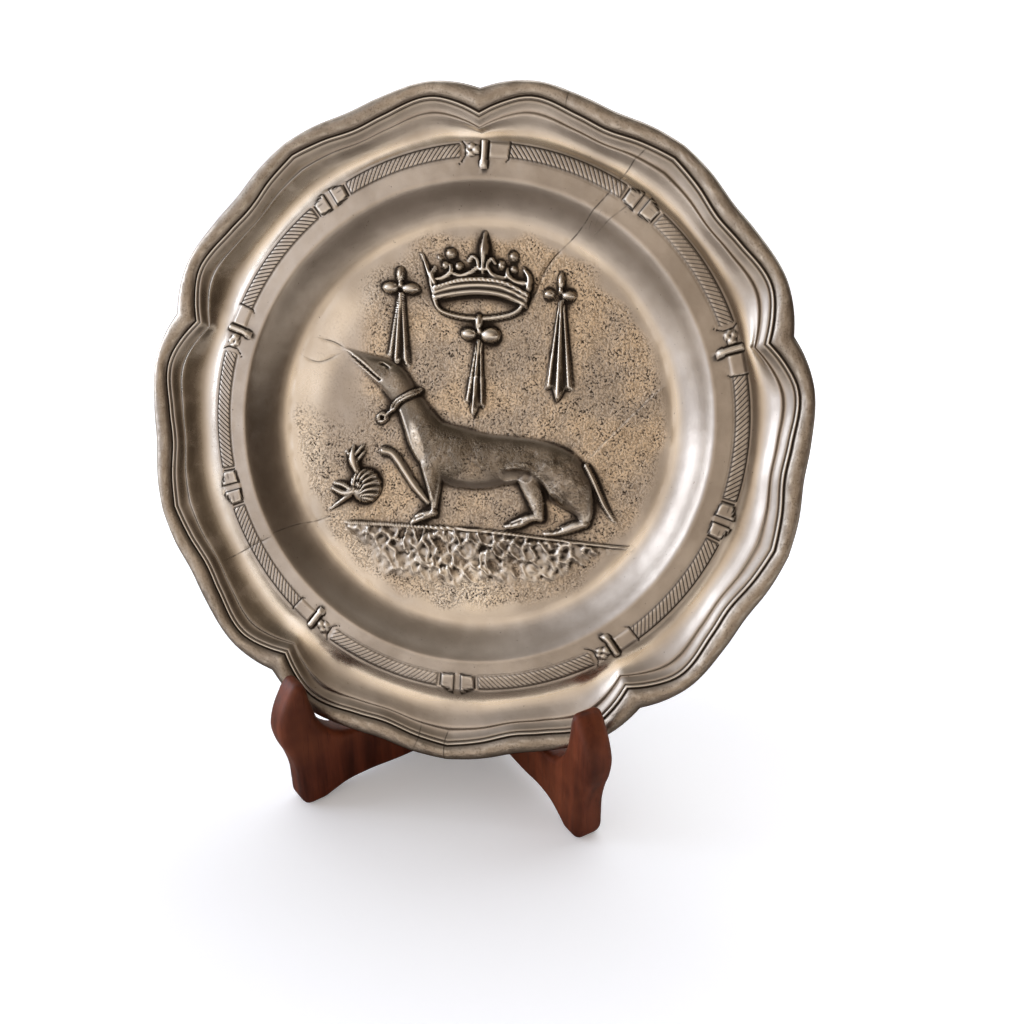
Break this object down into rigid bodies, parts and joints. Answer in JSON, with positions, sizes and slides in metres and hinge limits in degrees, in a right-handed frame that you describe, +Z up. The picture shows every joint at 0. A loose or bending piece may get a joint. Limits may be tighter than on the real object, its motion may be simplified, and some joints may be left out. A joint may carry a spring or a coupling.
{
  "type": "pewter wall plate on a wooden stand",
  "caption": "Lobed pewter wall plate with an ermine, coronet and ermine spots in relief, resting in a stand of crossed mahogany boards.",
  "frame": {"origin": "the middle of the bounding box on the surface that the stand's feet rest on", "axes": "+Z up; the plate faces -Y and leans back towards +Y; +X is to the right as seen from the front"},
  "size_m": [0.258, 0.1166, 0.2654],
  "materials": {
    "pewter": "aged cast pewter, warm grey with dark hollows and rubbed bright ridges",
    "mahogany": "mahogany stain under satin varnish, worn on the edges"
  },
  "bodies": {
    "root": {"pewter_plate": "pewter", "stand_left_board": "mahogany", "stand_right_board": "mahogany"}
  },
  "joints": []
}
